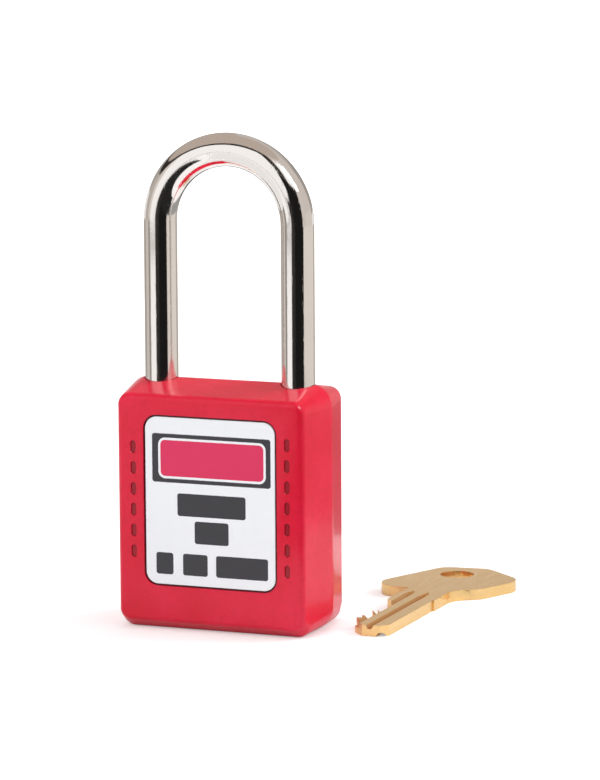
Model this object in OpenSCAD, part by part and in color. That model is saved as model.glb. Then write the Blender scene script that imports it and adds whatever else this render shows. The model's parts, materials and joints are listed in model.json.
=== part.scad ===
// Thermoplastic safety lockout padlock with a steel shackle, a six-pin cylinder and its key.
// Origin: middle of the foot. +X is right when facing the label, -Y is the label side, +Z is up.
// The padlock is closed and locked, and its key lies flat on the surface beside it.

/* [Body] */
// Width of the body at its moulding line
body_w = 38.6; // [37.6:0.2:46]
// Depth of the body from its front face to its back face
body_d = 20; // [19:0.5:28]
// Height of the body from its foot to the top of the moulding line
body_h = 44; // [43.4:0.2:56]
// How far each side leans in from the moulding line to the front and back faces
side_lean = 1.6; // [0.6:0.1:2.4]
// How far the top slopes down from the moulding line to the front and back faces
top_lean = 1.6; // [0.6:0.1:2.4]
// How far the underside rises from the foot to the front and back faces
bottom_lean = 1.2; // [0.6:0.1:2]
// Corner radius of the body at the moulding line
seam_corner_r = 4; // [2:0.2:5]
// Corner radius of the front and back faces
face_corner_r = 2.3; // [1.6:0.1:4]
// Rounding of the edges of the front and back faces
face_edge_r = 1.2; // [0.5:0.1:1.5]
// Width of the flat band along the moulding line
seam_w = 0.7; // [0.3:0.1:1.5]
// Front to back size of the flat foot
foot_d = 15; // [14.4:0.2:17]

/* [Label] */
// Width of the label
label_w = 24.5; // [16:0.5:25.5]
// Height of the label
label_h = 30; // [20:0.5:30.5]
// Thickness of the label
label_t = 0.35; // [0.2:0.05:0.4]
// Corner radius of the label
label_corner_r = 2.2; // [1:0.1:4]
// How far the label's middle stands above the middle of the body
label_rise = 1.4; // [-0.6:0.1:1.5]
// Gap all round the label in its recess
label_gap = 0.3; // [0.1:0.05:0.5]
// Depth of the label recesses in the front and back faces
recess_depth = 0.5; // [0.4:0.05:0.8]

/* [Face grooves] */
// Number of short grooves beside the label on the left
left_groove_count = 6; // [1:1:7]
// Number of short grooves beside the label on the right
right_groove_count = 7; // [1:1:7]
// Distance between neighbouring grooves in a column
groove_pitch = 3.75; // [3:0.05:3.9]
// Width of one groove
groove_w = 1.1; // [0.6:0.1:1.4]
// Height of one groove
groove_h = 2.4; // [1.6:0.1:2.6]
// Depth of the grooves
groove_depth = 0.3; // [0.1:0.05:0.5]

/* [Shackle] */
// Diameter of the shackle rod
rod_d = 6; // [5:0.1:6.4]
// Distance between the middles of the two legs
leg_spacing = 26; // [25.4:0.2:28]
// Height of the opening between the body and the inside of the bend
opening_h = 38; // [20:0.5:80]
// Gap all round each leg in its hole
leg_gap = 0.35; // [0.1:0.05:0.4]
// How far the shackle rises when it opens
shackle_rise = 13.2; // [12.6:0.1:14]
// Solid length of the short leg below its notch
toe_tail = 2.2; // [1.6:0.1:2.4]
// Depth of the cuts in the legs for the bolts
notch_depth = 1.2; // [1.1:0.05:1.5]
// Depth of the long relief and the turning groove in the long leg
relief_depth = 1.3; // [0.8:0.1:1.6]
// Length of the full-size foot at the end of the long leg
heel_foot_h = 2.8; // [1.5:0.1:3.5]
// Length of the turning groove above that foot
heel_groove_h = 3.1; // [2.8:0.1:5]
// Chamfer at the ends of the legs
rod_chamfer = 0.5; // [0.1:0.1:1]

/* [Locking bolts] */
// Height of a bolt
bolt_h = 3; // [2:0.1:3.2]
// Width of a bolt's nose
bolt_nose_w = 4.4; // [3:0.1:4.6]
// How far a bolt reaches into its leg when it is locked
bolt_reach = 1; // [0.6:0.05:1]
// How far a bolt slides when the key is turned
bolt_travel = 4; // [3.8:0.05:4.1]
// Diameter of the two drive pins on the cam
drive_pin_d = 1.6; // [1.2:0.1:1.8]
// Thickness of the moulding above the bolts
roof_h = 2.9; // [2.4:0.1:3.5]

/* [Cylinder] */
// Diameter of the plug
plug_d = 10; // [9.8:0.05:10.2]
// Running gap between the plug and its housing
plug_gap = 0.05; // [0.02:0.01:0.1]
// Thickness of the moulding between the cylinder housing and the floor of the short leg's hole
housing_cover = 1.6; // [1:0.1:2.2]
// Front to back size of the cylinder housing
housing_d = 12; // [11.6:0.1:12.2]
// Distance between neighbouring pin chambers
pin_pitch = 3.2; // [3:0.05:3.4]
// Distance from the plug's face to the first pin
first_pin = 4.3; // [4:0.1:5]
// Diameter of the pins
pin_d = 2.5; // [2:0.05:2.6]
// Length of the driver pins
driver_len = 4; // [3:0.1:5]
// Size of one step of cut depth on the key
cut_step = 0.5; // [0.3:0.05:0.5]
// Depth of the shallowest cut
cut_min = 1.2; // [0.8:0.1:1.4]
// Cut depth of each position on the key, in steps, from the bow to the tip
cuts = [2, 4, 1, 3, 0, 2]; // [0:1:4]

/* [Key] */
// Thickness of the key
key_t = 2; // [1.6:0.1:2.2]
// Height of the uncut blade
blade_h = 8.4; // [7.8:0.1:8.5]
// Length of the blade that goes into the plug
blade_len = 23.5; // [22.8:0.1:24.5]
// Length from the end of the blade to the far end of the bow
bow_len = 30; // [26:0.5:36]
// Width of the bow
bow_w = 23; // [20:0.5:26]
// Diameter of the hole for a key ring
ring_hole_d = 6.2; // [4:0.1:7]
// Depth of the milled grooves in the key
ward_depth = 0.7; // [0.3:0.05:0.8]
// Gap between the key and its keyway
keyway_gap = 0.12; // [0.08:0.02:0.2]
// Gap between the padlock's side and the tip of the key beside it
key_aside = 7; // [5:0.5:20]

/* [Bottom cover] */
// Thickness of the cover set into the underside
cover_t = 1.6; // [1.2:0.1:1.8]
// How far the cover sits above the foot
cover_set = 0.2; // [0.1:0.05:0.3]

/* [Hidden] */
$fn = 64;
hull_fn = 32;
over = 1;
close_gap = 0.05;
seat_gap = 0.1;
work_gap = 0.3;

rod_r = rod_d / 2;
leg_x = leg_spacing / 2;
leg_hole_r = rod_r + leg_gap;
bend_z = body_h + opening_h - (leg_x - rod_r);

face_bottom = bottom_lean;
face_top = body_h - top_lean;
face_w = body_w - 2 * side_lean;
label_z = body_h / 2 + label_rise;
recess_w = label_w + 2 * label_gap;
recess_h = label_h + 2 * label_gap;
recess_r = label_corner_r + label_gap;
groove_inset = 0.45;
groove_flat = 0.02;
groove_x = (face_w / 2 + recess_w / 2) / 2 - groove_inset;
groove_end_r = (groove_w - groove_flat) / 2;

bolt_gap = 0.2;
bolt_ceiling = body_h - roof_h;
bolt_top = bolt_ceiling - bolt_gap;
bolt_bottom = bolt_top - bolt_h;
bolt_sill = bolt_bottom - bolt_gap;
bolt_nose_x = leg_x - rod_r + bolt_reach;
free_share = (bolt_reach + seat_gap) / bolt_travel;
early_rise = shackle_rise * free_share;
notch_play = 0.25;
notch_top = bolt_top + notch_play;
notch_bottom = bolt_bottom - early_rise - notch_play;
toe_end = notch_bottom - toe_tail;

screw_r = 1.25;
screw_head_r = 2.4;
screw_head_h = 1.5;
screw_slot_w = 0.8;
screw_slot_depth = 0.7;
screw_sink = 0.5;
toe_floor = toe_end - bolt_gap - screw_head_h;

cover_z0 = cover_set;
cover_z1 = cover_z0 + cover_t;
cover_corner_r = 2;

plug_r = plug_d / 2;
plug_bore_r = plug_r + plug_gap;
plug_head_rim = 0.7;
plug_head_r = plug_r + plug_head_rim;
plug_face = cover_z0 + work_gap;
housing_z0 = cover_z1 + seat_gap;
housing_z1 = toe_floor - housing_cover;
housing_h = housing_z1 - housing_z0;
housing_x0 = -7.4;
housing_wall = 2.2;
housing_x1 = leg_x + housing_wall;
cover_rim = 0.5;
cover_half_w = housing_x1 + cover_rim;
cover_half_d = housing_d / 2 + cover_rim;
pin_r = pin_d / 2;
chamber_r = pin_r + close_gap;
pin_tip_r = 0.4;
pin_cone_h = 0.9;
pin_sink = 0.35;
strip_t = 0.7;
strip_w = 3.6;
strip_end = 2;
strip_x0 = housing_x1 - strip_t - close_gap;
driver_x0 = plug_bore_r + close_gap;
driver_x1 = driver_x0 + driver_len;
pin_wire_r = 0.18;
pin_coil_r = pin_r - pin_wire_r - close_gap;
pin_count = len(cuts);
strip_z0 = plug_face + first_pin - strip_end;
strip_l = (pin_count - 1) * pin_pitch + 2 * strip_end;
last_chamber_top = plug_face + first_pin + (pin_count - 1) * pin_pitch + chamber_r;
screw_bite = (housing_z1 - last_chamber_top) / 2;
keyway_run = 0.5;

clip_t = 0.8;
clip_z0 = housing_z1 + seat_gap;
clip_groove_depth = 0.7;
clip_rim = 0.8;
clip_mouth = 0.8;
clip_groove_r = plug_r - clip_groove_depth;
clip_outer_r = plug_r + clip_rim;
plug_collar_h = 1;
plug_top = clip_z0 + clip_t + plug_collar_h;
tongue_w = 2.4;
tongue_l = 6.4;
tongue_h = 2.6;
tongue_trim = 1;

cam_z0 = plug_top + close_gap;
cam_disc_t = 2;
cam_disc_top = bolt_bottom - work_gap;
cam_hub_r = 4.4;
cam_rim = 1.6;
drive_start = 20;
drive_r = bolt_travel / (cos(drive_start) + sin(drive_start));
cam_disc_r = drive_r + drive_pin_d / 2 + cam_rim;
drive_pin_top = bolt_top - work_gap;

pocket_x = -housing_x0 + seat_gap;
pocket_y = housing_d / 2 + seat_gap;
bolt_shoulder_x = pocket_x - bolt_gap;
slot_side = 0.7;
slot_end = 0.15;
arm_wall = 0.85;
arm_side = 0.8;
slot_x0 = drive_r * cos(drive_start) - drive_pin_d / 2 - work_gap;
slot_x1 = drive_r * cos(drive_start) + drive_pin_d / 2 + slot_side;
arm_x0 = slot_x0 - arm_wall;
arm_y0 = 0.35;
arm_slot_y1 = drive_r + drive_pin_d / 2 + slot_end;
arm_y1 = pocket_y - arm_side;

stop_pin_r = 1.2;
stop_pin_up = 0.5;
stop_pin_z = housing_z1 + stop_pin_up;
stop_pin_tip = leg_x - rod_r + relief_depth - work_gap;
relief_top = stop_pin_z + stop_pin_r + work_gap;
relief_bottom = stop_pin_z - stop_pin_r - work_gap - shackle_rise;
heel_end = relief_bottom - heel_foot_h;
heel_wall = 1.7;
spring_room = 8;
heel_floor = max(cover_z1 + heel_wall, heel_end - spring_room);
spring_wire_r = 0.4;
spring_coil_r = rod_r - spring_wire_r;
spring_h = heel_end - heel_floor - 2 * close_gap;
spring_pitch = 1.15;
spring_turns = max(1, floor((spring_h - 2 * spring_wire_r) / spring_pitch));

keyway_x1 = blade_h / 2;
long_ward = [-0.8, 1.4];
short_ward = [2.3, 1.6];
back_ward = [-2.8, 1.6];
long_run = 2.5;
short_run = 3;
back_run = 1.5;
cutter_r = 9;
cut_flat = 0.8;
spine_step = 0.3;
tip_ramp_h = 3.2;
tip_ramp_l = 3.5;
tip_nose = 0.4;
tip_cut_h = 1.4;
tip_cut_l = 2.2;
key_tip_x = body_w / 2 + key_aside;
key_tip_y = -2.5;
key_turn = 88.5;
ring_hole_in = 6.6;
lobe_shares = [
    [0.447, 0.283, 0.191], [0.863, 0.104, 0.148], [0.896, -0.13, 0.135],
    [0.707, -0.33, 0.196], [0.507, -0.235, 0.183]
];
near_share = lobe_shares[4];
near_lobe_x = blade_len + near_share[0] * bow_len;
near_lobe_y = near_share[1] * bow_w;
neck_r = 5;
neck_sink = 0.03;
neck_y = neck_sink - blade_h / 2 - neck_r;
neck_reach = neck_r + near_share[2] * bow_w - neck_sink;
neck_x = near_lobe_x - sqrt(pow(neck_reach, 2) - pow(near_lobe_y - neck_y, 2));

red = [0.85, 0.14, 0.26];
steel = [0.78, 0.77, 0.75];
brass = [0.82, 0.68, 0.42];
zinc = [0.62, 0.63, 0.64];

function pin_z(i) = plug_face + first_pin + i * pin_pitch;
function cut_depth(i) = cut_min + cuts[i] * cut_step;

// A rectangle with round corners, centred on the origin.
module round_rect(w, h, r) {
    square([w - 2 * r, h], center = true);
    square([w, h - 2 * r], center = true);
    for (sx = [-1, 1], sy = [-1, 1])
        translate([sx * (w / 2 - r), sy * (h / 2 - r)]) circle(r);
}

// The same shape as a plate that stands on edge and faces the front, from y0 to y1.
module face_plate(w, h, r, y0, y1) {
    translate([0, y1, 0]) rotate([90, 0, 0]) linear_extrude(y1 - y0) round_rect(w, h, r);
}

// A round-edged disc, one for each corner of the two large faces.
module corner_disc() {
    ring_r = face_corner_r - face_edge_r;
    rotate([90, 0, 0]) rotate_extrude($fn = hull_fn) intersection() {
        translate([ring_r, 0]) circle(face_edge_r, $fn = hull_fn);
        translate([0, -face_edge_r]) square([face_corner_r, 2 * face_edge_r]);
    }
}

// The outside of the body: two tapered halves that meet at the moulding line.
module body_form() {
    hull() {
        for (x = [-1, 1], y = [-1, 1], z = [face_bottom + face_corner_r, face_top - face_corner_r])
            translate([x * (face_w / 2 - face_corner_r), y * (body_d / 2 - face_edge_r), z]) corner_disc();
        for (x = [-1, 1], z = [seam_corner_r, body_h - seam_corner_r])
            translate([x * (body_w / 2 - seam_corner_r), 0, z]) rotate([90, 0, 0])
                cylinder(r = seam_corner_r, h = seam_w, center = true, $fn = 2 * hull_fn);
        translate([seam_corner_r - body_w / 2, -foot_d / 2, 0])
            cube([body_w - 2 * seam_corner_r, foot_d, 1]);
    }
}

// One column of short round-ended grooves in the front face.
module groove_column(x, count) {
    for (i = [0:count - 1])
        translate([x, 0, label_z + (i - (count - 1) / 2) * groove_pitch])
            face_plate(groove_w, groove_h, groove_end_r, -body_d / 2 - over, groove_depth - body_d / 2);
}

module label_recess(y0, y1) {
    translate([0, 0, label_z]) face_plate(recess_w, recess_h, recess_r, y0, y1);
}

// The room inside the body, cut from below for the cylinder and from above for the legs.
module inner_room() {
    translate([0, 0, -over]) linear_extrude(cover_z1 + over)
        round_rect(2 * (cover_half_w + seat_gap), 2 * (cover_half_d + seat_gap), cover_corner_r + seat_gap);
    translate([housing_x0 - seat_gap, -pocket_y, 0])
        cube([housing_x1 - housing_x0 + 2 * seat_gap, 2 * pocket_y, housing_z1 + seat_gap]);
    translate([-pocket_x, -pocket_y, 0]) cube([2 * pocket_x, 2 * pocket_y, bolt_ceiling]);
    translate([-leg_x, -bolt_nose_w / 2 - work_gap, bolt_sill])
        cube([2 * leg_x, bolt_nose_w + 2 * work_gap, bolt_ceiling - bolt_sill]);
    translate([leg_x, 0, toe_floor]) cylinder(r = leg_hole_r, h = body_h);
    translate([-leg_x, 0, heel_floor]) cylinder(r = leg_hole_r, h = body_h);
    translate([leg_x, 0, housing_z1 - over])
        cylinder(r = screw_r + seat_gap, h = toe_floor - housing_z1 + 2 * over);
    translate([-leg_x, 0, stop_pin_z]) rotate([0, 90, 0])
        cylinder(r = stop_pin_r, h = leg_x - pocket_x + over);
}

// One-piece moulded body, with a label recess in each large face.
module body_shell() {
    color(red) difference() {
        body_form();
        inner_room();
        label_recess(-body_d / 2 - over, recess_depth - body_d / 2);
        label_recess(body_d / 2 - recess_depth, body_d / 2 + over);
        groove_column(-groove_x, left_groove_count);
        groove_column(groove_x, right_groove_count);
    }
}

module label() {
    floor_y = recess_depth - body_d / 2;
    color("white") translate([0, 0, label_z])
        face_plate(label_w, label_h, label_corner_r, floor_y - label_t, floor_y);
}

// Cover set flush into the underside, round the face of the plug.
module bottom_cover() {
    color(red) translate([0, 0, cover_z0]) difference() {
        linear_extrude(cover_t) round_rect(2 * cover_half_w, 2 * cover_half_d, cover_corner_r);
        translate([0, 0, -over]) cylinder(r = plug_head_r + work_gap, h = cover_t + 2 * over);
    }
}

// Die-cast cylinder housing, bored for the plug and drilled for the pin stacks.
module cylinder_housing() {
    color(zinc) difference() {
        translate([housing_x0, -housing_d / 2, housing_z0])
            cube([housing_x1 - housing_x0, housing_d, housing_h]);
        translate([0, 0, housing_z0 - over]) cylinder(r = plug_bore_r, h = housing_h + 2 * over);
        for (i = [0:pin_count - 1])
            translate([0, 0, pin_z(i)]) rotate([0, 90, 0]) cylinder(r = chamber_r, h = strip_x0 + over / 2);
        translate([strip_x0 - close_gap, -strip_w / 2 - close_gap, strip_z0 - close_gap])
            cube([strip_t + over, strip_w + 2 * close_gap, strip_l + 2 * close_gap]);
        translate([leg_x, 0, housing_z1 - screw_bite - seat_gap])
            cylinder(r = screw_r, h = screw_bite + over);
    }
}

// Screw in the floor of the short leg's hole. It can be reached only when the padlock is open.
module housing_screw() {
    color(steel) translate([leg_x, 0, 0]) difference() {
        union() {
            translate([0, 0, housing_z1 - screw_bite])
                cylinder(r = screw_r, h = toe_floor - housing_z1 + screw_bite + screw_sink);
            translate([0, 0, toe_floor]) cylinder(r = screw_head_r, h = screw_head_h);
        }
        translate([-screw_head_r - over, -screw_slot_w / 2, toe_floor + screw_head_h - screw_slot_depth])
            cube([2 * screw_head_r + 2 * over, screw_slot_w, screw_slot_depth + over]);
    }
}

// Strip that closes the outer ends of the pin chambers.
module spring_strip() {
    color(brass) translate([strip_x0, -strip_w / 2, strip_z0]) cube([strip_t, strip_w, strip_l]);
}

// Section of the key's blade with its milled grooves. A positive gap makes the keyway that takes it.
module blade_section(gap) {
    difference() {
        square([blade_h + 2 * gap, key_t + 2 * gap], center = true);
        for (ward = [long_ward, short_ward])
            translate([ward[0] - ward[1] / 2 + gap, key_t / 2 - ward_depth + gap])
                square([ward[1] - 2 * gap, ward_depth + over]);
        translate([back_ward[0] - back_ward[1] / 2 + gap, -key_t / 2 - over - gap])
            square([back_ward[1] - 2 * gap, ward_depth + over]);
    }
}

// Brass plug with its keyway, pin bores, clip groove and driving tongue.
module plug() {
    color(brass) {
        difference() {
            union() {
                translate([0, 0, plug_face]) cylinder(r = plug_head_r, h = cover_z1 - plug_face);
                translate([0, 0, plug_face + over / 2])
                    cylinder(r = plug_r, h = plug_top - plug_face - over / 2);
            }
            translate([0, 0, plug_face - over])
                linear_extrude(blade_len + over + keyway_run) blade_section(keyway_gap);
            for (i = [0:pin_count - 1])
                translate([0, 0, pin_z(i)]) rotate([0, 90, 0]) cylinder(r = chamber_r, h = plug_r + over);
            translate([0, 0, clip_z0 - close_gap]) difference() {
                cylinder(r = plug_r + over, h = clip_t + seat_gap);
                translate([0, 0, -over]) cylinder(r = clip_groove_r, h = clip_t + 3 * over);
            }
        }
        intersection() {
            translate([-tongue_l / 2, -tongue_w / 2, plug_top - over])
                cube([tongue_l, tongue_w, tongue_h + over]);
            translate([0, 0, plug_top - over]) cylinder(r = plug_r - tongue_trim, h = tongue_h + over);
        }
    }
}

// Open spring clip that holds the plug in its housing.
module plug_clip() {
    mouth_w = 2 * clip_groove_r - clip_mouth;
    color(steel) translate([0, 0, clip_z0]) difference() {
        cylinder(r = clip_outer_r, h = clip_t);
        translate([0, 0, -over]) cylinder(r = clip_groove_r + close_gap, h = clip_t + 2 * over);
        translate([-mouth_w / 2, 0, -over]) cube([mouth_w, clip_outer_r + over, clip_t + 2 * over]);
    }
}

// Cam on the plug's tongue, with a drive pin for each bolt.
module locking_cam() {
    color(zinc) difference() {
        union() {
            translate([0, 0, cam_z0]) cylinder(r = cam_hub_r, h = cam_disc_top - cam_z0 - over / 2);
            translate([0, 0, cam_disc_top - cam_disc_t]) cylinder(r = cam_disc_r, h = cam_disc_t);
            for (turn = [0, 180])
                rotate([0, 0, drive_start + turn]) translate([drive_r, 0, cam_disc_top - over])
                    cylinder(d = drive_pin_d, h = drive_pin_top - cam_disc_top + over);
        }
        translate([-tongue_l / 2 - seat_gap, -tongue_w / 2 - seat_gap, cam_z0 - over])
            cube([tongue_l + 2 * seat_gap, tongue_w + 2 * seat_gap, tongue_h + seat_gap + over]);
    }
}

// Sliding bolt: a nose for the leg's notch and an arm with the slot that a drive pin pulls.
module bolt() {
    color(steel) translate([0, 0, bolt_bottom]) linear_extrude(bolt_h) difference() {
        union() {
            translate([bolt_shoulder_x - close_gap, -bolt_nose_w / 2])
                square([bolt_nose_x - bolt_shoulder_x + close_gap, bolt_nose_w]);
            translate([arm_x0, arm_y0]) square([bolt_shoulder_x - arm_x0, arm_y1 - arm_y0]);
        }
        translate([slot_x0, arm_y0 - over]) square([slot_x1 - slot_x0, arm_slot_y1 - arm_y0 + over]);
    }
}

// Key pin: flat outside, conical where it rests on its cut of the key.
module key_pin(i) {
    tip_x = keyway_x1 - cut_depth(i);
    flat_x = plug_r - pin_sink;
    color(brass) translate([0, 0, pin_z(i)]) rotate([0, 90, 0]) union() {
        translate([0, 0, tip_x]) cylinder(r1 = pin_tip_r, r2 = pin_r, h = pin_cone_h);
        translate([0, 0, tip_x + pin_cone_h]) cylinder(r = pin_r, h = flat_x - tip_x - pin_cone_h);
    }
}

module driver_pin(i) {
    color(steel) translate([driver_x0, 0, pin_z(i)]) rotate([0, 90, 0]) cylinder(r = pin_r, h = driver_len);
}

// A round wire wound into an open coil along +Z, swept ring by ring.
module coil(coil_r, wire_r, turns, height, steps, sides) {
    rings = turns * steps;
    rise = height - 2 * wire_r;
    points = [
        for (k = [0:rings], s = [0:sides - 1])
            let (a = 360 * k / steps, b = 360 * s / sides, r = coil_r + wire_r * cos(b))
            [r * cos(a), r * sin(a), wire_r + rise * k / rings + wire_r * sin(b)]
    ];
    walls = [
        for (k = [0:rings - 1], s = [0:sides - 1])
            let (a = k * sides + s, b = k * sides + (s + 1) % sides)
            each [[a, a + sides, b], [b, a + sides, b + sides]]
    ];
    ends = [[for (s = [0:sides - 1]) s], [for (s = [sides - 1:-1:0]) rings * sides + s]];
    polyhedron(points, concat(walls, ends), convexity = 10);
}

module pin_spring(i) {
    color(steel) translate([driver_x1 + close_gap, 0, pin_z(i)]) rotate([0, 90, 0])
        coil(pin_coil_r, pin_wire_r, 6, strip_x0 - driver_x1 - 2 * close_gap, 10, 5);
}

// Shackle: one bent rod with bolt notches in both legs and a relief in the long one.
module shackle() {
    color(steel) difference() {
        union() {
            translate([0, 0, bend_z]) rotate([90, 0, 0]) rotate_extrude(angle = 180, $fn = 96)
                translate([leg_x, 0]) circle(rod_r);
            shackle_leg(leg_x, toe_end);
            shackle_leg(-leg_x, heel_end);
        }
        for (side = [-1, 1])
            translate([side * (leg_x - rod_r + notch_depth - rod_r) - rod_r, -rod_d, notch_bottom])
                cube([rod_d, 2 * rod_d, notch_top - notch_bottom]);
        translate([-leg_x + rod_r - relief_depth, -rod_d, relief_bottom])
            cube([rod_d, 2 * rod_d, relief_top - relief_bottom]);
        translate([-leg_x, 0, relief_bottom]) difference() {
            cylinder(r = rod_r + over, h = heel_groove_h);
            translate([0, 0, -over]) cylinder(r = rod_r - relief_depth, h = heel_groove_h + 2 * over);
        }
    }
}

module shackle_leg(x, end_z) {
    translate([x, 0, end_z]) cylinder(r1 = rod_r - rod_chamfer, r2 = rod_r, h = rod_chamfer);
    translate([x, 0, end_z + rod_chamfer]) cylinder(r = rod_r, h = bend_z - end_z - rod_chamfer);
}

// Spring under the long leg that lifts the shackle.
module shackle_spring() {
    color(steel) translate([-leg_x, 0, heel_floor + close_gap])
        coil(spring_coil_r, spring_wire_r, spring_turns, spring_h, 16, 8);
}

// Pin between the cylinder and the long leg. The leg's foot stops against it at full lift.
module heel_stop_pin() {
    color(steel) translate([-stop_pin_tip, 0, stop_pin_z]) rotate([0, 90, 0])
        cylinder(r = stop_pin_r, h = stop_pin_tip - pocket_x - close_gap);
}

// Outline of the key's bow: the hull of five lobes, each given as shares of the bow's length and width.
module key_bow() {
    hull() for (lobe = lobe_shares)
        translate([blade_len + lobe[0] * bow_len, lobe[1] * bow_w]) circle(lobe[2] * bow_w, $fn = hull_fn);
}

// Concave neck on the key's right, from the blade's spine onto the bow's nearest lobe.
module key_neck() {
    difference() {
        polygon([[neck_x, 0], [near_lobe_x, 0], [near_lobe_x, near_lobe_y], [neck_x, neck_y]]);
        translate([neck_x, neck_y]) circle(neck_r);
    }
}

// Outline of the key's blade seen from above, tip at the origin and bitted edge towards +Y.
module blade_outline() {
    difference() {
        translate([0, -blade_h / 2]) square([blade_len + bow_len / 2, blade_h]);
        for (i = [0:pin_count - 1])
            translate([blade_len - first_pin - i * pin_pitch, blade_h / 2 - cut_depth(i)]) key_cut();
        translate([0, blade_h / 2 - tip_ramp_h]) polygon([
            [-over, -over - tip_nose], [-over, tip_ramp_h + over], [tip_ramp_l + over, tip_ramp_h + over],
            [tip_ramp_l, tip_ramp_h], [tip_nose, 0]
        ]);
        translate([0, -blade_h / 2])
            polygon([[-over, -over], [tip_cut_l, -over], [tip_cut_l, 0], [0, tip_cut_h], [-over, tip_cut_h]]);
        translate([-over, -blade_h / 2 - over]) square([blade_len + over, spine_step + over]);
    }
}

// One V cut with a short flat root, open towards +Y.
module key_cut() {
    depth = blade_h;
    side = cut_flat / 2;
    polygon([[-side, 0], [side, 0], [side + depth, depth], [-side - depth, depth]]);
}

// A milled groove along the blade, ending where a round cutter was lifted out.
module ward_groove(ward, length) {
    translate([-over, ward[0] - ward[1] / 2, key_t - ward_depth]) cube([length + over, ward[1], key_t]);
    translate([length, ward[0] + ward[1] / 2, key_t - ward_depth + cutter_r]) rotate([90, 0, 0])
        cylinder(r = cutter_r, h = ward[1]);
}

// Flat brass key, lying on the surface that the padlock stands on.
module key() {
    color(brass) translate([key_tip_x, key_tip_y, 0]) rotate([0, 0, key_turn]) difference() {
        union() {
            linear_extrude(key_t) blade_outline();
            linear_extrude(key_t) key_bow();
            linear_extrude(key_t) key_neck();
        }
        ward_groove(long_ward, blade_len + long_run);
        ward_groove(short_ward, blade_len + short_run);
        translate([0, 0, key_t]) mirror([0, 0, 1]) ward_groove(back_ward, blade_len + back_run);
        translate([blade_len + bow_len - ring_hole_in, 0, -over])
            cylinder(d = ring_hole_d, h = key_t + 2 * over);
    }
}

body_shell();
label();
bottom_cover();
cylinder_housing();
housing_screw();
spring_strip();
plug();
plug_clip();
locking_cam();
bolt();  // bolt_right
rotate([0, 0, 180]) bolt();  // bolt_left
for (i = [0:pin_count - 1]) {
    key_pin(i);
    driver_pin(i);
    pin_spring(i);
}
shackle();
shackle_spring();
heel_stop_pin();
key();
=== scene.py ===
import json
import math

import bmesh
import bpy
from mathutils import Euler, Matrix, Vector


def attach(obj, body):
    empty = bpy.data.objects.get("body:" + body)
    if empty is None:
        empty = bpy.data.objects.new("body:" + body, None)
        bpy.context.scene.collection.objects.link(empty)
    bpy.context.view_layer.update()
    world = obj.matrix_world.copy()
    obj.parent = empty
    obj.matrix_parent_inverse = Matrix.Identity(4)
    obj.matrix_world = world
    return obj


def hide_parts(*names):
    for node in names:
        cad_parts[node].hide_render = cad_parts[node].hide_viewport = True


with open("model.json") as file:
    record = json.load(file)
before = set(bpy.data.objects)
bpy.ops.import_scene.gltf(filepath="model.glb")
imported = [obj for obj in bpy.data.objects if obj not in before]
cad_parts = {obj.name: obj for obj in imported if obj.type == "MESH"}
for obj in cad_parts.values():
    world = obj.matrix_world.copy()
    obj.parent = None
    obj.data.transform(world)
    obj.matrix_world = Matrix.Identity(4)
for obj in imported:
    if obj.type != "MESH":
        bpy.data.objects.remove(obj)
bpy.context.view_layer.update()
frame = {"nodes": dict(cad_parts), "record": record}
print("frame loaded:", len(frame["nodes"]), "nodes")

mm = 0.001


class Wire:
    # one output of a node; sums and products of wires become Math nodes
    def __init__(self, maker, socket):
        self.maker = maker
        self.socket = socket

    def calc(self, operation, *values):
        return self.maker.node("ShaderNodeMath", {"operation": operation}, values)

    def __add__(self, other):
        return self.calc("ADD", self, other)

    def __radd__(self, other):
        return self.calc("ADD", other, self)

    def __sub__(self, other):
        return self.calc("SUBTRACT", self, other)

    def __rsub__(self, other):
        return self.calc("SUBTRACT", other, self)

    def __mul__(self, other):
        return self.calc("MULTIPLY", self, other)

    def __rmul__(self, other):
        return self.calc("MULTIPLY", other, self)

    def __truediv__(self, other):
        return self.calc("DIVIDE", self, other)

    def __rtruediv__(self, other):
        return self.calc("DIVIDE", other, self)

    def __pow__(self, other):
        return self.calc("POWER", self, other)

    def __rpow__(self, other):
        return self.calc("POWER", other, self)

    def __abs__(self):
        return self.calc("ABSOLUTE", self)

    def lower(self, other):
        return self.calc("MINIMUM", self, other)

    def upper(self, other):
        return self.calc("MAXIMUM", self, other)

    def clamped(self):
        return self.upper(0.0).lower(1.0)


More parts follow.
